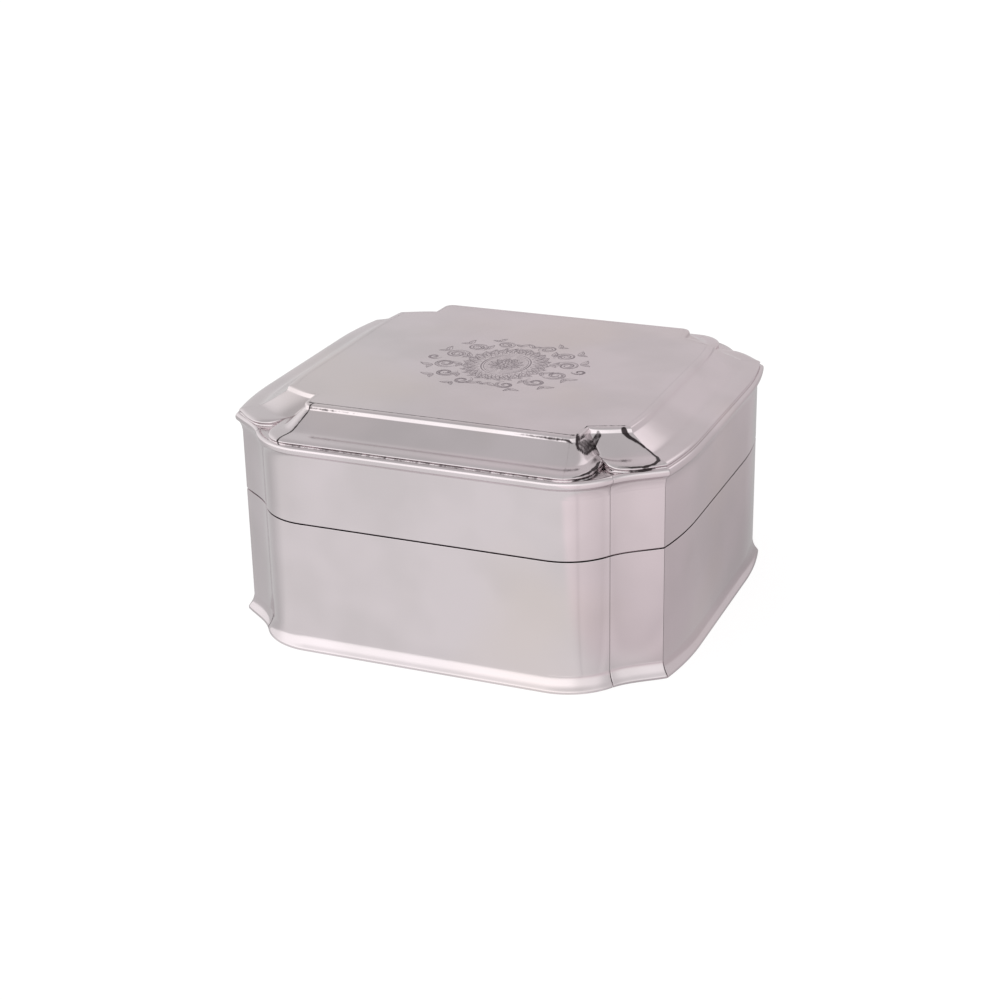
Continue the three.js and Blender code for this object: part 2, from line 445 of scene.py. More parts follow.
def deselect_all() -> None:
    """Leaves nothing selected before a primitive is added."""
    bpy.ops.object.select_all(action="DESELECT")


def close_edit() -> None:
    """Turns all the faces of the mesh being edited outwards, and leaves edit mode."""
    bpy.ops.mesh.select_all(action="SELECT")
    bpy.ops.mesh.normals_make_consistent(inside=False)
    bpy.ops.object.mode_set(mode="OBJECT")


def carried_bar(name: str, rings: Sequence[Sequence[Vector]]) -> Piece:
    """Makes a bar by extruding a flat section from station to station.

    Args:
        name: The piece's name.
        rings: The section's points at each station, in metres.

    Returns:
        The closed piece, with its place in its mesh.
    """
    deselect_all()
    bpy.ops.mesh.primitive_circle_add(
        vertices=len(rings[0]), radius=MM, fill_type="NGON", location=(0, 0, 0))
    piece = start_piece(name)
    bpy.ops.object.mode_set(mode="EDIT")
    mesh = bmesh.from_edit_mesh(piece.data)
    place_in_ring = mesh.verts.layers.int.new("place_in_ring")
    for index, vert in enumerate(mesh.verts):
        vert[place_in_ring] = index
        vert.co = rings[0][index]
    bmesh.update_edit_mesh(piece.data)
    for ring in rings[1:]:
        bpy.ops.mesh.extrude_region_move()
        mesh = bmesh.from_edit_mesh(piece.data)
        place_in_ring = mesh.verts.layers.int["place_in_ring"]
        for vert in mesh.verts:
            if vert.select:
                vert.co = ring[vert[place_in_ring]]
        bmesh.update_edit_mesh(piece.data)
    close_edit()
    piece.data.attributes.remove(piece.data.attributes["place_in_ring"])
    return piece


def soften(piece: Piece, width: float, end_share: float = 1.0) -> None:
    """Rounds a piece's hard edges and shades it smooth between them.

    Args:
        piece: The piece.
        width: The width of the rounding in millimetres.
        end_share: How much of that width the edges of the two end faces get.
    """
    deselect_all()
    piece.select_set(True)
    bpy.context.view_layer.objects.active = piece
    bpy.ops.object.mode_set(mode="EDIT")
    mesh = bmesh.from_edit_mesh(piece.data)
    weight = mesh.edges.layers.float.new("bevel_weight_edge")
    for edge in mesh.edges:
        if len(edge.link_faces) == 2 and edge.calc_face_angle() > CREASE:
            at_end = any(len(face.verts) > 4 for face in edge.link_faces)
            edge[weight] = end_share if at_end else 1.0
    bmesh.update_edit_mesh(piece.data)
    bpy.ops.object.mode_set(mode="OBJECT")
    bevel = piece.modifiers.new("worn_edges", "BEVEL")
    bevel.width = width * MM
    bevel.segments = 2
    bevel.limit_method = "WEIGHT"
    bpy.ops.object.modifier_apply(modifier=bevel.name)
    bpy.ops.object.shade_smooth_by_angle(angle=CREASE)
    weighted = piece.modifiers.new("flat_faces", "WEIGHTED_NORMAL")
    weighted.mode = "FACE_AREA"
    weighted.keep_sharp = True
    bpy.ops.object.modifier_apply(modifier=weighted.name)


@dataclass(frozen=True)
class Moulding:
    """A section carried round the box in eight lengths, with its worn edges.

    The section's stops are offsets and heights in millimetres, each with the plan it follows. The
    wear is the rounding of its long edges, and end_share is how much of it the cut ends get.
    """

    stem: str
    stock: str
    stops: Stops
    joint: float
    wear: float
    end_share: float = 1.0
    mitred: bool = False

    def node(self, place: Place) -> str:
        """Returns the name of the solid that one length stands for."""
        return f"{self.stem}_{place.name.lower()}"

    def make(self, place: Place) -> Piece:
        """Makes one length.

        Args:
            place: Which length of the box.

        Returns:
            The length, not yet dressed.
        """
        paths = [place.path(plan, offset, self.joint, self.mitred) for offset, _, plan in self.stops]
        rings = [
            [Vector((*point, height)) * MM for point, (_, height, _) in zip(station, self.stops)]
            for station in zip(*paths)
        ]
        piece = carried_bar(f"{self.node(place)}_{self.stock}", rings)
        soften(piece, self.wear, self.end_share)
        return piece


def on_plan(plan: Plan, section: Section) -> Stops:
    """Returns the points of a section, each with the plan it follows."""
    return [(offset, height, plan) for offset, height in section]


def hand_over(piece: Piece, body: str, node: str | None, finish: Finish) -> None:
    """Dresses a piece, and says what carries it and which solid it stands for.

    Args:
        piece: The finished piece.
        body: The body it moves with.
        node: The node it replaces, if it replaces one.
        finish: The piece's material.
    """
    piece.data.materials.clear()
    piece.data.materials.append(finish)
    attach(piece, body)
    if node:
        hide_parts(node)
    LOG.info("%s rides on %s with %d faces", piece.name, body, len(piece.data.polygons))


@dataclass(frozen=True)
class TarnishAndShade:
    """Where the lid's border is darkened, in its corners, along its edges and in its groove: partly
    painted shade, partly tarnish and a dark mitre line.

    Each stroke runs over the plan of the front right quarter, or of its mirror image, through
    points that carry its half width.
    """

    # The attribute that carries the painted shade and the tarnish
    attribute: str = "tarnish"
    fade: float = 0.4
    right: tuple[Stroke, ...] = (
        # Painted shade dimming the highlight at the end of the flat's front edge
        ((14.0, -38.9, -0.3), (22.0, -38.9, -0.09), (30.4, -38.9, -0.03)),
        # The rim of the pit beside the notch
        ((30.5, -36.3, 0.05), (31.1, -38.2, 0.15), (31.8, -39.3, 0.15), (33.1, -39.3, 0.1)),
        ((33.1, -39.3, 0.05), (33.45, -35.6, 0.05), (34.0, -32.4, 0.05)),
        # Painted shade along the flat's corner edge
        ((30.75, -33.2, -0.05), (30.75, -31.3, 0.05), (38.0, -28.5, 0.05)),
        # Painted shade, with some tarnish, round the end of the shoulder, under the border's outer edge
        ((33.4, -48.3, -0.1), (34.9, -46.8, 0.0), (36.0, -44.8, 0.1), (36.4, -41.6, 0.15),
         (36.1, -38.9, 0.1), (36.8, -38.0, 0.0)),
        # Painted shade under the canted corner's outer edge and round its end, then a dark line up the
        # mitre to the flat
        ((40.4, -39.8, -0.1), (43.0, -39.1, 0.05), (45.3, -37.7, 0.1), (46.8, -35.9, 0.15),
         (47.2, -34.2, 0.25), (46.2, -32.6, 0.2), (44.6, -31.4, 0.15), (41.5, -30.6, 0.15),
         (39.6, -30.3, 0.3), (38.2, -29.7, 0.4)),
    )
    left: tuple[Stroke, ...] = (
        # Painted shade dimming the highlight at the end of the flat's front edge
        ((13.0, -38.9, -0.3), (22.0, -38.9, -0.15), (29.4, -38.9, -0.08)),
        # The mitre in the shoulder
        ((28.9, -37.4, 0.0), (31.9, -48.9, 0.1)),
    )
    # The pit itself, which isn't as black as its rim
    pit: tuple[Stroke, ...] = (
        ((30.7, -36.3, 0.05), (31.5, -38.5, 0.45)),
        ((32.5, -38.4, 0.95), (32.6, -35.6, 0.8), (33.6, -32.4, 0.45)),
    )
    pit_share: float = 0.75
    # Painted shade along the flat's front edge
    front: Stroke = ((-29.5, -37.25, 0.18), (30.0, -37.25, 0.18))
    # Painted shade, with some tarnish, in the groove under the front border's lip: how far it runs from
    # the middle and how high
    groove_reach: float = 33.0
    groove_line: float = -46.0
    groove_top: float = 0.98
    groove_fade: float = 0.25
    groove_taper: float = 3.0
    groove_share: float = 0.62

    def share_at(self, place: Vector) -> float:
        """Returns how black a place is.

        Args:
            place: The place in millimetres, anywhere on the box.

        Returns:
            A share from 0 to 1.
        """
        if place.y > 0:
            return 0.0
        point = Vector((abs(place.x), place.y))
        share = 0.0
        strokes = [(stroke, 1.0) for stroke in (*(self.right if place.x > 0 else self.left), self.front)]
        if place.x > 0:
            strokes += [(stroke, self.pit_share) for stroke in self.pit]
        for stroke, most in strokes:
            for (*start, start_width), (*end, end_width) in zip(stroke, stroke[1:]):
                ray = Vector(end) - Vector(start)
                run = min(max((point - Vector(start)).dot(ray) / ray.length_squared, 0.0), 1.0)
                width = start_width + (end_width - start_width) * run
                gap = (point - Vector(start) - ray * run).length - width
                share = max(share, min(1 - gap / self.fade, most))
        return share

    def paint(self, piece: Piece, floor_level: float) -> None:
        """Writes the darkening, painted shade and tarnish, into a piece's mesh as an attribute.

        Args:
            piece: The piece.
            floor_level: The height of the bottom of its groove, in millimetres.
        """
        layer = piece.data.attributes.new(self.attribute, "FLOAT", "POINT")
        for vertex, item in zip(piece.data.vertices, layer.data):
            place = vertex.co / MM
            depth = (floor_level + self.groove_top - place.z) / self.groove_fade
            reach = (self.groove_reach - abs(place.x)) / self.groove_taper
            inside = place.y < self.groove_line
            groove = inside * min(max(depth + 1, 0.0), 1.0) * min(max(reach, 0.0), 1.0)
            item.value = max(self.share_at(place), self.groove_share * groove)


@dataclass(frozen=True)
class BurnishedSilver:
    """Sterling silver, raised by hand and burnished, with centuries of fine polishing."""

    name: str = "sterling_silver_burnished"
    tone: str = "#D9D0D3"
    worn_tone: str = "#D1C9CB"
    warm_tone: str = "#D8CDC9"
    roughness: tuple[float, float] = (0.12, 0.19)
    cloud: float = 19.0
    warm_spread: float = 1.6
    hammer: float = 11.0
    hammer_depth: float = 0.035
    scratch: float = 0.45
    scratch_depth: float = 0.004
    # The colour and grain of the painted shade and tarnish in the border's corners and groove
    tarnish_tone: str = "#423B3D"
    tarnish_grain: float = 0.9

    def build(self) -> Finish:
        """Makes the material.

        Returns:
            The material, which reads Object coordinates and the painted tarnish and shade.
        """
        material = bpy.data.materials.new(self.name)
        add = start_tree(material)
        place = add("TexCoord").outputs["Object"]
        # Clouding of the skin where it has been polished more or less, a couple of centimetres wide
        clouds = add(
            "TexNoise", {"Scale": 1 / (self.cloud * MM), "Detail": 2.0, "Roughness": 0.5},
            {"Vector": place})
        cool = add("ValToRGB", {}, {"Fac": clouds})
        set_ramp(cool, [(0.36, self.worn_tone), (0.6, self.tone)])
        warmth = add(
            "TexNoise",
            {"noise_dimensions": "4D", "Scale": 1 / (self.cloud * self.warm_spread * MM), "Detail": 1.0,
             "W": 3.0},
            {"Vector": place})
        warm_share = add(
            "MapRange", {"From Min": 0.52, "From Max": 0.72, "To Min": 0.0, "To Max": 0.55},
            {"Value": warmth})
        colour = add("Mix", {"data_type": "RGBA", 7: linear(self.warm_tone)}, {0: warm_share, 6: cool})
        # Polishing lines, a fraction of a millimetre apart, wandering along and round the walls
        stretch = add(
            "Mapping", {"Scale": (0.16, 0.16, 1.0), "Rotation": (0.2, 0.1, 0.4)}, {"Vector": place})
        lines = add(
            "TexNoise", {"Scale": 1 / (self.scratch * MM), "Detail": 3.0, "Roughness": 0.6},
            {"Vector": stretch})
        haze = add("Math", {"operation": "MULTIPLY_ADD", 1: 0.35, 2: 0.3}, {0: lines})
        haze_sum = add("Math", {"operation": "MULTIPLY_ADD", 1: 0.45}, {0: clouds, 2: haze})
        dulling = add(
            "MapRange",
            {"From Min": 0.45, "From Max": 0.95, "To Min": self.roughness[0],
             "To Max": self.roughness[1]},
            {"Value": haze_sum})
        # The faint waves that hammering leaves in sheet, about a centimetre across
        waves = add("TexNoise", {"Scale": 1 / (self.hammer * MM), "Detail": 1.0}, {"Vector": place})
        wave_bump = add("Bump", {"Strength": 1.0, "Distance": self.hammer_depth * MM}, {"Height": waves})
        line_bump = add(
            "Bump", {"Strength": 0.25, "Distance": self.scratch_depth * MM},
            {"Height": lines, "Normal": wave_bump})
        # Painted shade and tarnish from the painted attribute, blackening the border's corners and
        # groove, with a ragged noisy edge
        painted = add("Attribute", {"attribute_name": TarnishAndShade.attribute})
        ragged = add(
            "TexNoise", {"Scale": 1 / (self.tarnish_grain * MM), "Detail": 2.0}, {"Vector": place})
        ragged_share = add(
            "Math", {"operation": "MULTIPLY_ADD", 1: 0.7}, {0: ragged, 2: painted.outputs["Fac"]})
        black_share = add(
            "MapRange", {**SMOOTH, "From Min": 0.75, "From Max": 1.25}, {"Value": ragged_share})
        blackened = add(
            "Mix", {"data_type": "RGBA", 7: linear(self.tarnish_tone)},
            {0: black_share, 6: colour.outputs[2]})
        roughness = add("Math", {"operation": "MULTIPLY_ADD", 1: 0.3}, {0: black_share, 2: dulling})
        surface = add(
            "BsdfPrincipled", {"Metallic": 1.0},
            {"Base Color": blackened.outputs[2], "Roughness": roughness, "Normal": line_bump})
        add("OutputMaterial", {}, {"Surface": surface})
        return material


@dataclass(frozen=True)
class CutLine:
    """The burin's cut through the burnished skin: its darker colour is partly painted shade for the
    hollow of the cut, partly the tarnish that polishing never reaches.
    """

    name: str = "sterling_silver_engraved"
    # Darker tones stand partly for painted shade inside the cut, partly for tarnish
    tone: str = "#A79CA1"
    deep_tone: str = "#8A7F85"
    roughness: float = 0.45
    grain: float = 1.3

    def build(self) -> Finish:
        """Makes the material.

        Returns:
            The material, which reads Object coordinates alone.
        """
        material = bpy.data.materials.new(self.name)
        add = start_tree(material)
        place = add("TexCoord").outputs["Object"]
        depth = add("TexNoise", {"Scale": 1 / (self.grain * MM), "Detail": 3.0}, {"Vector": place})
        colour = add("ValToRGB", {}, {"Fac": depth})
        set_ramp(colour, [(0.35, self.deep_tone), (0.65, self.tone)])
        surface = add(
            "BsdfPrincipled", {"Metallic": 0.85, "Roughness": self.roughness}, {"Base Color": colour})
        add("OutputMaterial", {}, {"Surface": surface})
        return material


@dataclass(frozen=True)
class Half:
    """What the body and the lid have in common: the seam between them, and their upright walls."""

    plan: Plan
    finish: Finish
    seam_height: float = 29.4
    seam_gap: float = 0.3
    wall_gauge: float = 1.2
    wall_joint: float = 0.07
    wall_end_share: float = 0.25
    solder_film: float = 0.05

    def wall(self, stem: str, bottom: float, top: float, wear: float) -> Moulding:
        """Returns the upright sheets all round, each with a point halfway up its faces.

        Args:
            stem: The start of their names.
            bottom: The height of their lower edge in millimetres.
            top: The height of their upper edge.
            wear: The rounding of their edges.

        Returns:
            The sheets, as a moulding.
        """
        middle = (bottom + top) / 2
        section = [(0.0, bottom), (0.0, middle), (0.0, top),
                   (-self.wall_gauge, top), (-self.wall_gauge, middle), (-self.wall_gauge, bottom)]
        return Moulding(
            stem, "sheet", on_plan(self.plan, section), self.wall_joint, wear, self.wall_end_share)


@dataclass(frozen=True)
class Body(Half):
    """The lower part of the box: walls, foot and bezel."""

    # The walls run down behind the joints of the foot
    wall_bottom: float = 0.15
    foot_height: float = 3.6
    foot_flare: float = 1.4
    foot_joint: float = 0.2
    fit_gap: float = 0.25
    bezel_gauge: float = 0.8
    bezel_rise: float = 6.2
    bezel_reach: float = 9.0
    wall_wear: float = 0.14
    foot_wear: float = 0.08
    bezel_wear: float = 0.12

    def foot_section(self) -> Section:
        """Draws the flared foot wire's section.

        Returns:
            The closed section.
        """
        reach = self.foot_flare
        height = self.foot_height
        face = smooth_run(
            [(reach * 0.985, 0.0), (reach, 0.1), (reach, 0.4), (reach * 0.97, 0.56),
             (reach * 0.9, 0.72), (reach * 0.78, 0.95), (reach * 0.61, 1.28), (reach * 0.44, 1.66),
             (reach * 0.3, 2.06), (reach * 0.185, 2.46), (reach * 0.1, 2.86), (reach * 0.035, 3.24),
             (0.0, height)], 3)
        return [*face, (-self.solder_film, height), (-self.solder_film, 0.0)]

    def build_bezel(self) -> Piece:
        """Makes the inner band from one loop of the plan, drawn up and given its gauge.

        Returns:
            The band.
        """
        outline = self.plan.whole(-self.wall_gauge - self.fit_gap)
        bottom = self.seam_height - self.bezel_reach
        deselect_all()
        bpy.ops.mesh.primitive_circle_add(vertices=len(outline), radius=MM, location=(0, 0, 0))
        band = start_piece("bezel_band")
        bpy.ops.object.mode_set(mode="EDIT")
        mesh = bmesh.from_edit_mesh(band.data)
        for vert, point in zip(list(mesh.verts), outline):
            vert.co = Vector((point.x, point.y, bottom)) * MM
        bmesh.update_edit_mesh(band.data)
        bpy.ops.mesh.extrude_region_move(
            TRANSFORM_OT_translate={"value": (0, 0, (self.bezel_reach + self.bezel_rise) * MM)})
        close_edit()
        gauge = band.modifiers.new("gauge", "SOLIDIFY")
        gauge.thickness = self.bezel_gauge * MM
        gauge.offset = -1.0
        gauge.use_even_offset = True
        bpy.ops.object.modifier_apply(modifier=gauge.name)
        soften(band, self.bezel_wear)
        return band

    def build(self) -> None:
        """Makes and hands over all the pieces of the body."""
        wall_top = self.seam_height - self.seam_gap / 2
        wall = self.wall("body", self.wall_bottom, wall_top, self.wall_wear)
        foot = Moulding(
            "foot", "wire", on_plan(self.plan, self.foot_section()), self.foot_joint, self.foot_wear)
        for place in Place:
            for kind in (wall, foot):
                hand_over(kind.make(place), "body", kind.node(place), self.finish)
        hand_over(self.build_bezel(), "body", "bezel", self.finish)


@dataclass(frozen=True)
class Lid(Half):
    """The pull-off lid: walls, rim, moulded border and flat panel."""

    border_plan: BorderPlan = BorderPlan()
    # The painted shade and tarnish for the border's corners and groove
    tarnish: TarnishAndShade = TarnishAndShade()
    wall_rise: float = 17.2
    rim_overhang: float = 1.3
    rim_height: float = 3.7
    rim_joint: float = 0.05
    border_rise: float = 6.2
    border_joint: float = 0.02
    border_gauge: float = 1.5
    border_seat: float = 2.2
    panel_inset: float = 11.52
    panel_gauge: float = 1.2
    wall_wear: float = 0.12
    rim_wear: float = 0.05
    rim_end_share: float = 0.6
    border_wear: float = 0.03
    panel_wear: float = 0.02

    @property
    def wall_top(self) -> float:
        """Returns the height of the top of the lid's walls."""
        return self.seam_height + self.wall_rise

    @property
    def panel_top(self) -> float:
        """Returns the height of the flat panel's upper face."""
        return self.wall_top + self.border_rise

    def rim_section(self) -> Section:
        """Draws the section of the cove and the rounded edge above it.

        Returns:
            The closed section.
        """
        top = self.wall_top
        bottom = top - self.rim_height
        reach = self.rim_overhang
        cove = smooth_run(
            [(0.0, bottom), (0.07, bottom + 0.8), (0.24, bottom + 1.5), (0.52, bottom + 2.1),
             (0.9, bottom + 2.55), (reach * 0.93, bottom + 2.85), (reach, top - 0.5),
             (reach, top - 0.2), (reach * 0.96, top + 0.08), (reach * 0.85, top + 0.34),
             (reach * 0.66, top + 0.52), (0.62, top + 0.6)], 4)
        return [*cove, (0.4, top + 0.5), (-self.solder_film, top + 0.4), (-self.solder_film, bottom)]

    def border_stops(self) -> Stops:
        """Draws the section of the moulded border: a flange on the walls, then one long ogee.

        Returns:
            The closed section, each point with its plan.
        """
        base = self.wall_top
        lip = [(0.44, 0.44), (0.3, 0.56), (0.24, 0.72), (0.28, 0.9), (0.4, 1.06)]
        face = smooth_run(
            [(0.47, 1.14), (0.47, 1.24), (0.38, 1.37), (0.12, 1.54), (-0.3, 1.69), (-0.9, 1.8),
             (-2.0, 1.88), (-3.1, 1.93), (-3.9, 2.04), (-4.6, 2.28), (-5.4, 2.66), (-6.4, 3.2),
             (-7.5, 3.82), (-8.5, 4.38), (-9.2, 4.78), (-9.62, 5.06)], 3)
        roll = smooth_run(
            [(-9.7, 5.16), (-9.8, 5.4), (-9.9, 5.66), (-10.03, 5.9), (-10.25, 6.07),
             (-10.6, 6.17), (-11.1, self.border_rise)], 4)
        rise = [*lip, *face, *roll, (-11.5, self.border_rise)]
        top = [(offset, base + height) for offset, height in rise]
        under = [
            (offset, height - self.border_gauge)
            for offset, height in reversed([*top[::4], top[-1]])
            if offset < -self.border_seat
        ]
        return [
            (0.1, base, self.plan),
            (0.1, base + 0.42, self.plan),
            *on_plan(self.border_plan, [*top, *under, (-self.border_seat, base)]),
            (-self.wall_gauge, base, self.plan),
        ]

    def build_panel(self) -> Piece:
        """Makes the flat panel from the plan's outline, drawn up by its gauge.

        Returns:
            The panel.
        """
        outline = self.border_plan.whole(-self.panel_inset)
        bottom = self.panel_top - self.panel_gauge
        rings = [
            [Vector((point.x, point.y, height)) * MM for point in outline]
            for height in (bottom, self.panel_top)
        ]
        panel = carried_bar("lid_panel_sheet", rings)
        soften(panel, self.panel_wear)
        return panel

    def build(self) -> None:
        """Makes and hands over all the pieces of the lid."""
        wall_bottom = self.seam_height + self.seam_gap / 2
        wall = self.wall("lid", wall_bottom, self.wall_top, self.wall_wear)
        rim = Moulding("rim", "wire", on_plan(self.plan, self.rim_section()),
                       self.rim_joint, self.rim_wear, self.rim_end_share)
        border = Moulding(
            "border", "swage", self.border_stops(), self.border_joint, self.border_wear, mitred=True)
        for place in Place:
            for kind in (wall, rim, border):
                piece = kind.make(place)
                if kind is border:
                    # The border carries painted shade and tarnish in its corners and groove
                    self.tarnish.paint(piece, self.wall_top)
                hand_over(piece, "lid", kind.node(place), self.finish)
        hand_over(self.build_panel(), "lid", "lid_panel", self.finish)


@dataclass
class Ornament:
    """The scrolled ornament cut in the middle of the lid, the same on both sides of the middle."""

    finish: Finish
    level: float
    # The cut's half width, how far it stands above the panel, and how flat its round wire is pressed
    line: float = 0.11
    proud: float = 0.003
    flatness: float = 0.06
    scroll_steps: int = 40
    leaf_steps: int = 12
    oval: Point = (5.4, 6.9)
    hatch_rows: int = 12
    hatch_pitch: float = 0.48
    hatch_half: float = 4.7
    # The rings from which the rosette's front and back leaves grow
    leaf_ring: Point = (5.8, 7.3)
    back_leaf_ring: Point = (6.6, 8.0)
    back_leaf_turn: float = 0.12
    # Each scroll's middle, radius, start and turn in degrees
    scrolls: tuple[tuple[Point, float, float, float], ...] = (
        ((13.4, 3.4), 3.1, 170.0, -600.0), ((13.2, -3.6), 3.1, 190.0, 600.0),
        ((10.9, 9.2), 2.9, 225.0, -560.0), ((10.7, -9.4), 2.9, 135.0, 560.0),
        ((5.3, 12.9), 2.6, 250.0, -540.0), ((5.1, -13.1), 2.6, 110.0, 540.0),
        ((17.5, 0.0), 1.9, 180.0, 500.0),
    )
    # Each pair of leaves outside the scrolls: base, heading in degrees and length
    sprays: tuple[tuple[Point, float, float], ...] = (
        ((15.8, 5.0), 48.0, 3.4), ((15.6, -5.2), -20.0, 3.4), ((13.0, 11.0), 58.0, 3.2),
        ((12.8, -11.2), -30.0, 3.2), ((7.2, 14.6), 76.0, 2.8), ((6.8, -14.8), -48.0, 2.8),
        ((1.3, 12.6), 96.0, 3.0), ((1.2, -12.6), -70.0, 3.0), ((9.4, 2.6), 30.0, 3.0),
        ((9.4, -2.8), -10.0, 3.0), ((7.6, 8.8), 62.0, 3.0), ((7.4, -9.0), -34.0, 3.0),
    )
    strokes: list[Stroke] = field(default_factory=list)

    def add_line(self, points: Sequence[Point], width: float = 1.0) -> None:
        """Adds a cut that swells from nothing and dies away, and its mirror image.

        Args:
            points: Where the cut runs, in millimetres from the middle of the lid.
            width: How wide it is, as a share of the usual line.
        """
        last = len(points) - 1
        for side in (1, -1):
            self.strokes.append([
                (side * x, y, self.line * width * (0.25 + 0.75 * math.sin(math.pi * index / last) ** 0.6))
                for index, (x, y) in enumerate(points)
            ])

    def add_scroll(self, centre: Point, radius: float, start: float, turn: float) -> None:
        """Adds a scroll that winds in to a bud, with a thin line inside it.

        Args:
            centre: The middle of the scroll.
            radius: Its radius at the outer end.
            start: The angle of its outer end in degrees.
            turn: How far it winds in degrees, anticlockwise if positive.
        """
        for reach, width in ((1.0, 1.35), (0.86, 0.6)):
            points = []
            for step in range(self.scroll_steps + 1):
                share = step / self.scroll_steps
                angle = math.radians(start + turn * share)
                distance = radius * reach * (1 - 0.84 * share ** 0.9)
                points.append((centre[0] + distance * math.cos(angle),
                               centre[1] + distance * math.sin(angle)))
            self.add_line(points, width)

    def add_leaf(self, base: Point, heading: float, length: float, bend: float = 30.0) -> None:
        """Adds a leaf: two edges, a midrib and shading cuts on one side.

        Args:
            base: Where it grows from.
            heading: Which way it sets out, in degrees.
            length: How long it is.
            bend: How far it curls by its tip, in degrees.
        """
        edges: tuple[list[Point], list[Point], list[Point]] = ([], [], [])
        for step in range(self.leaf_steps + 1):
            share = step / self.leaf_steps
            angle = math.radians(heading + bend * share)
            x = base[0] + length * share * math.cos(angle)
            y = base[1] + length * share * math.sin(angle)
            half = 0.2 * length * math.sin(math.pi * share ** 0.75)
            for edge, side in zip(edges, (-1, 0, 1)):
                edge.append((x - side * half * math.sin(angle), y + side * half * math.cos(angle)))
        for edge, width in zip(edges, (1.1, 0.7, 0.8)):
            self.add_line(edge, width)
        for step in (3, 5, 7, 9):
            self.add_line([edges[1][step], edges[0][step + 2]], 0.7)

    def draw(self) -> None:
        """Draws the ornament: a rosette in a hatched oval, with leaves and scrolls round it."""
        for reach, width in ((1.0, 1.5), (0.9, 0.8)):
            self.add_line([
                (self.oval[0] * reach * math.cos(math.radians(angle)),
                 self.oval[1] * reach * math.sin(math.radians(angle)))
                for angle in range(-90, 91, 10)], width)
        for row in range(-self.hatch_rows, self.hatch_rows + 1):
            half = self.hatch_half * math.sqrt(1 - (row / (self.hatch_rows + 0.8)) ** 2)
            height = row * self.hatch_pitch
            self.add_line([(0.05 * half, height), (0.5 * half, height), (half, height)], 0.6)
        for heading in range(-90, 91, 30):
            angle = math.radians(heading)
            self.add_leaf((0.35 * math.cos(angle), 0.35 * math.sin(angle)), heading, 3.8, bend=12.0)
        for heading in range(-84, 85, 14):
            for ring, shift, length, bend in (
                    (self.leaf_ring, 0.0, 4.6, 28.0),
                    (self.back_leaf_ring, self.back_leaf_turn, 3.6, -36.0)):
                angle = math.radians(heading) + shift
                base = (ring[0] * math.cos(angle), ring[1] * math.sin(angle))
                self.add_leaf(base, heading, length, bend)
        for centre, radius, start, turn in self.scrolls:
            self.add_scroll(centre, radius, start, turn)
            self.add_scroll(centre, radius * 0.72, start + 40.0, turn * 0.8)
        for base, heading, length in self.sprays:
            self.add_leaf(base, heading, length)
            self.add_leaf(base, heading - 32.0, length * 0.8, bend=-30.0)

    def build(self) -> None:
        """Cuts the ornament and hands it over with the lid."""
        self.draw()
        deselect_all()
        cuts = bpy.data.curves.new("scrolled_ornament", "CURVE")
        cuts.dimensions = "3D"
        cuts.bevel_depth = MM
        cuts.bevel_resolution = 1
        for stroke in self.strokes:
            spline = cuts.splines.new("POLY")
            spline.points.add(len(stroke) - 1)
            for point, (x, y, width) in zip(spline.points, stroke):
                point.co = (x * MM, y * MM, 0.0, 1.0)
                point.radius = width
        piece = bpy.data.objects.new("scrolled_ornament", cuts)
        bpy.context.scene.collection.objects.link(piece)
        piece.select_set(True)
        bpy.context.view_layer.objects.active = piece
        bpy.ops.object.convert(target="MESH")
        bpy.ops.object.mode_set(mode="EDIT")
        bpy.ops.mesh.select_all(action="SELECT")
        bpy.ops.transform.resize(value=(1.0, 1.0, self.flatness))
        bpy.ops.transform.translate(value=(0.0, 0.0, (self.level + self.proud) * MM))
        close_edit()
        hand_over(piece, "lid", None, self.finish)


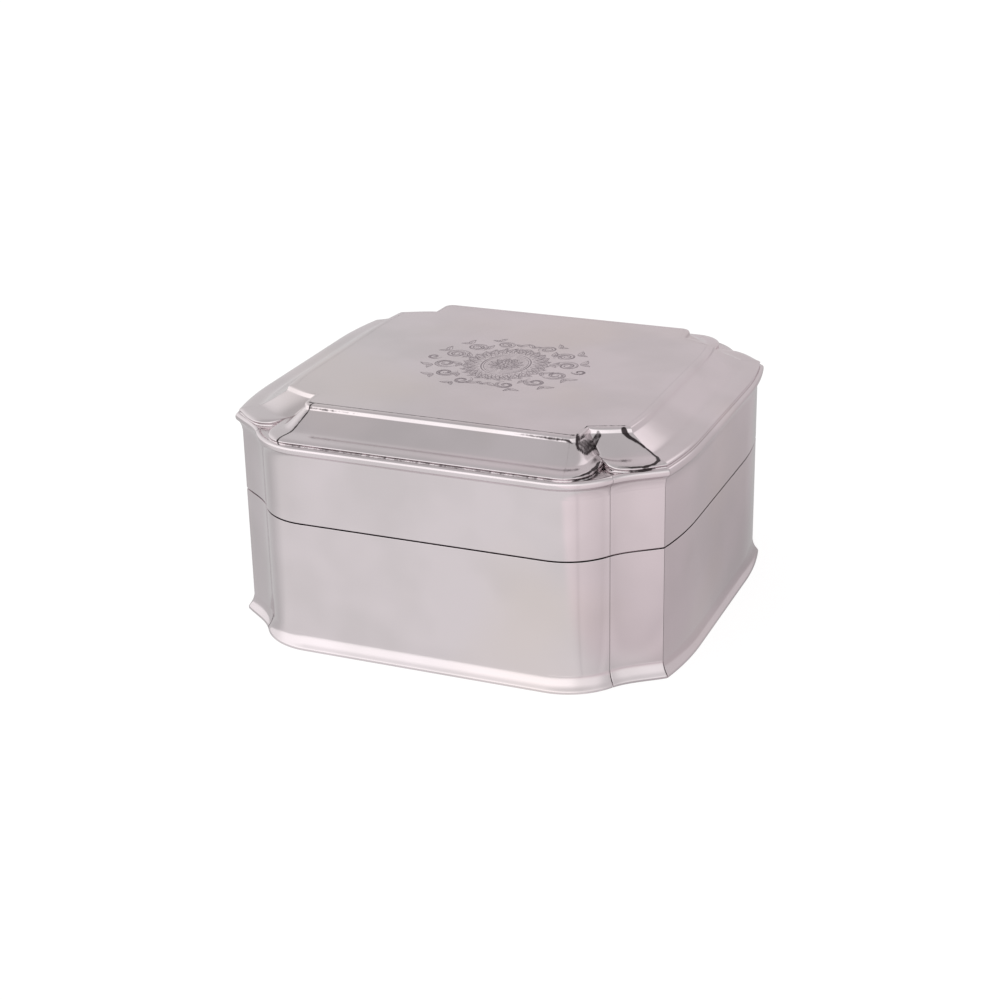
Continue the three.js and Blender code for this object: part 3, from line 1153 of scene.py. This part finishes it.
@dataclass(frozen=True)
class Studio:
    """The pale floor, the soft light all round, and the camera."""

    floor_tone: str = "#F4F2F2"
    floor_half: float = 4.0
    # The paper as the camera sees it: thin, and lit from within
    thin_paper: Colour = (0.22, 0.22, 0.22, 1.0)
    glow_tint: Colour = (1.0, 0.995, 0.995, 1.0)
    glow_strength: float = 0.86
    room_strength: float = 1.5
    # The ring's brightness, from the side away from the lit one round to the lit one
    lit_side: Triple = (-0.434, -0.901, 0.0)
    ring_stops: Levels = (
        (0.0, 0.49), (0.08, 0.485), (0.17, 0.485), (0.27, 0.52), (0.5, 0.745), (0.68, 0.78),
        (0.87, 0.965), (1.0, 1.0))
    ceiling_level: float = 0.43
    lamp_way: Triple = (0.22, 0.69, 0.69)
    lamp_level: float = 0.34
    # Painted light on the paper as metal sees it, by the bearing from a corner of the box; the dip at -54
    # degrees from the right corner is a painted dark stripe
    right_corner: Point = (36.0, -46.0)
    right_bearings: Levels = (
        (-180.0, 0.93), (-72.0, 0.93), (-57.0, 0.87), (-54.0, 0.72), (-50.0, 0.87), (-32.0, 0.83),
        (-12.0, 0.8), (-3.0, 0.76), (8.0, 0.84), (18.0, 0.74), (32.0, 0.63), (68.0, 0.58), (76.0, 0.49),
        (90.0, 0.55), (100.0, 0.93))
    left_corner: Point = (-34.0, -46.0)
    left_bearings: Levels = (
        (-180.0, 0.8), (-170.0, 0.89), (-158.0, 1.0), (84.0, 1.0), (92.0, 0.72), (171.0, 0.72),
        (180.0, 0.8))
    # The room's faint mauve behind the box and at its right, as linear colours
    back_tint: Colour = (1.02, 0.97, 0.985, 1.0)
    right_tint: Colour = (1.04, 0.97, 0.99, 1.0)
    # Where the painted shadow on the paper, as metal sees it, is darkest, at the box's right, in metres
    shaded_spot: Triple = (0.03, -0.005, 0.0)
    lens_pixels: float = 2016.7
    image_pixels: float = 1000.0
    sensor: float = 36.0
    clip: Point = (0.01, 20.0)
    camera_at: Triple = (164.62, -396.10, 196.44)
    yaw: float = 22.83
    pitch: float = 22.36
    roll: float = -1.16

    def ring_level(self, add: Adder, way: bpy.types.NodeSocket) -> bpy.types.Node:
        """Adds the nodes that give the room's brightness low down, by the side it is seen on.

        Args:
            add: The function that adds a node to the tree.
            way: The direction looked in.

        Returns:
            The brightness, as a share of the room's full strength.
        """
        level = add("VectorMath", {"operation": "MULTIPLY", 1: (1.0, 1.0, 0.0)}, {0: way})
        unit = add("VectorMath", {"operation": "NORMALIZE"}, {0: level})
        facing = add("VectorMath", {"operation": "DOT_PRODUCT", 1: self.lit_side}, {0: unit})
        share = add("MapRange", {"From Min": -1.0, "From Max": 1.0}, {"Value": facing.outputs["Value"]})
        ramp = add("ValToRGB", {}, {"Fac": share})
        ramp.color_ramp.interpolation = "EASE"
        set_ramp(ramp, self.ring_stops)
        return ramp

    def corner_fade(self, add: Adder, place: bpy.types.NodeSocket, corner: Point,
                    stops: Levels) -> bpy.types.Node:
        """Adds the nodes that dim the paper by the bearing from one of the box's corners.

        Args:
            add: The function that adds a node to the tree.
            place: The place on the floor.
            corner: The corner in millimetres.
            stops: Bearings from -180 to 180 degrees, each with the paper's brightness.

        Returns:
            The brightness.
        """
        from_corner = add(
            "VectorMath", {"operation": "SUBTRACT", 1: (corner[0] * MM, corner[1] * MM, 0.0)}, {0: place})
        parts = add("SeparateXYZ", {}, {0: from_corner})
        bearing = add("Math", {"operation": "ARCTAN2"}, {0: parts.outputs["Y"], 1: parts.outputs["X"]})
        share = add("MapRange", {"From Min": -math.pi, "From Max": math.pi}, {"Value": bearing})
        ramp = add("ValToRGB", {}, {"Fac": share})
        set_ramp(ramp, [((degrees + 180) / 360, level) for degrees, level in stops])
        return ramp

    def build_floor(self) -> None:
        """Makes the floor: pale to the camera, and to metal a glow with painted light and a painted
        shadow at the box's right, brightest in front of the box.
        """
        deselect_all()
        bpy.ops.mesh.primitive_plane_add(size=2 * self.floor_half, location=(0, 0, 0))
        floor = start_piece("pale_floor")
        material = bpy.data.materials.new("pale_paper_floor")
        add = start_tree(material)
        rays = add("LightPath")
        place = add("TexCoord").outputs["Object"]
        paper = add("BsdfDiffuse", {"Color": linear(self.floor_tone)})
        thin_paper = add("BsdfDiffuse", {"Color": self.thin_paper})
        glow = add("Emission", {"Color": self.glow_tint, "Strength": self.glow_strength})
        seen = add("AddShader", {}, {0: thin_paper, 1: glow})
        right_fade = self.corner_fade(add, place, self.right_corner, self.right_bearings)
        left_fade = self.corner_fade(add, place, self.left_corner, self.left_bearings)
        both = add("Math", {"operation": "MULTIPLY"}, {0: right_fade, 1: left_fade})
        # Painted shadow of the box on the paper at its right, seen only by metal
        beside = add("VectorMath", {"operation": "DISTANCE", 1: self.shaded_spot}, {0: place})
        clear = add(
            "MapRange", {**SMOOTH, "From Min": 0.04, "From Max": 0.13, "To Min": 0.96, "To Max": 1.13},
            {"Value": beside.outputs["Value"]})
        parts = add("SeparateXYZ", {}, {0: place})
        at_right = add(
            "MapRange", {**SMOOTH, "From Min": 0.042, "From Max": 0.06}, {"Value": parts.outputs["X"]})
        shade = add("Mix", {"data_type": "FLOAT", 2: 1.0}, {0: at_right, 3: clear})
        near = add("Math", {"operation": "MULTIPLY"}, {0: both, 1: shade})
        far = add(
            "Math", {"operation": "MULTIPLY", 1: self.room_strength}, {0: self.ring_level(add, place)})
        distance = add("VectorMath", {"operation": "LENGTH"}, {0: place})
        farness = add(
            "MapRange", {**SMOOTH, "From Min": 0.3, "From Max": 1.6},
            {"Value": distance.outputs["Value"]})
        level = add("Mix", {"data_type": "FLOAT"}, {0: farness, 2: near, 3: far})
        tint = add("Mix", {"data_type": "RGBA", 6: WHITE, 7: self.right_tint}, {0: at_right})
        sheen = add("Emission", {}, {"Color": tint.outputs[2], "Strength": level})
        for_camera = add("MixShader", {}, {0: rays.outputs["Is Camera Ray"], 1: paper, 2: seen})
        for_metal = add("MixShader", {}, {0: rays.outputs["Is Glossy Ray"], 1: for_camera, 2: sheen})
        add("OutputMaterial", {}, {"Surface": for_metal})
        floor.data.materials.append(material)

    def build_light(self) -> None:
        """Makes the soft light: a ring brightest at the front left, and a dark ceiling."""
        world = bpy.data.worlds.new("soft_studio")
        bpy.context.scene.world = world
        add = start_tree(world)
        ray = add("TexCoord").outputs["Generated"]
        parts = add("SeparateXYZ", {}, {0: ray})
        lift = add(
            "MapRange", {**SMOOTH, "From Min": 0.45, "From Max": 0.88}, {"Value": parts.outputs["Z"]})
        dome = add(
            "Mix", {"data_type": "FLOAT", 3: self.ceiling_level}, {0: lift, 2: self.ring_level(add, ray)})
        lamp_angle = add("VectorMath", {"operation": "DOT_PRODUCT", 1: self.lamp_way}, {0: ray})
        lamp = add(
            "MapRange",
            {**SMOOTH, "From Min": 0.95, "From Max": 0.99, "To Min": 0.0, "To Max": self.lamp_level},
            {"Value": lamp_angle.outputs["Value"]})
        total = add("Math", {"operation": "ADD"}, {0: dome, 1: lamp})
        behind = add(
            "MapRange", {**SMOOTH, "From Min": 0.2, "From Max": 0.85}, {"Value": parts.outputs["Y"]})
        rightwards = add(
            "MapRange", {**SMOOTH, "From Min": -0.43, "From Max": -0.37, "To Min": 0.1},
            {"Value": parts.outputs["X"]})
        tint_share = add("Math", {"operation": "MULTIPLY"}, {0: behind, 1: rightwards})
        tint = add("Mix", {"data_type": "RGBA", 6: WHITE, 7: self.back_tint}, {0: tint_share})
        tinted = add("VectorMath", {"operation": "SCALE"}, {0: tint.outputs[2], "Scale": total})
        soft = add("Background", {"Strength": self.room_strength}, {"Color": tinted})
        white = add("Background", {"Color": WHITE, "Strength": 1.0})
        rays = add("LightPath")
        mixed = add("MixShader", {}, {0: rays.outputs["Is Camera Ray"], 1: soft, 2: white})
        add("OutputWorld", {}, {"Surface": mixed})

    def build_camera(self) -> None:
        """Places the camera at the photograph's angle."""
        yaw, pitch, roll = (math.radians(angle) for angle in (self.yaw, self.pitch, self.roll))
        level = Vector((math.cos(yaw), math.sin(yaw), 0.0))
        back = Vector(
            (math.sin(yaw) * math.cos(pitch), -math.cos(yaw) * math.cos(pitch), math.sin(pitch)))
        up = back.cross(level)
        right = level * math.cos(roll) + up * math.sin(roll)
        up = back.cross(right)
        data = bpy.data.cameras.new("photo_camera")
        data.sensor_width = self.sensor
        data.lens = self.lens_pixels / self.image_pixels * self.sensor
        data.clip_start, data.clip_end = self.clip
        camera = bpy.data.objects.new("photo_camera", data)
        bpy.context.scene.collection.objects.link(camera)
        turn = Matrix((right, up, back)).transposed().to_4x4()
        camera.matrix_world = Matrix.Translation(Vector(self.camera_at) * MM) @ turn
        bpy.context.scene.camera = camera
        bpy.context.scene.view_settings.view_transform = "Standard"

    def build(self) -> None:
        """Makes the floor, the light and the camera."""
        self.build_floor()
        self.build_light()
        self.build_camera()


def main() -> None:
    """Builds the studio and the box, piece by piece."""
    logging.basicConfig(level=logging.INFO, format="%(name)s: %(message)s")
    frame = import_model()
    studio = Studio()
    studio.build()
    plan = Plan()
    silver = BurnishedSilver().build()
    Body(plan, silver).build()
    lid = Lid(plan, silver)
    lid.build()
    Ornament(CutLine().build(), lid.panel_top).build()
    base = frame["nodes"]["base_plate"]
    base.data.materials.clear()
    base.data.materials.append(silver)
    LOG.info("base_plate keeps its solid")


if __name__ == "__main__":
    main()
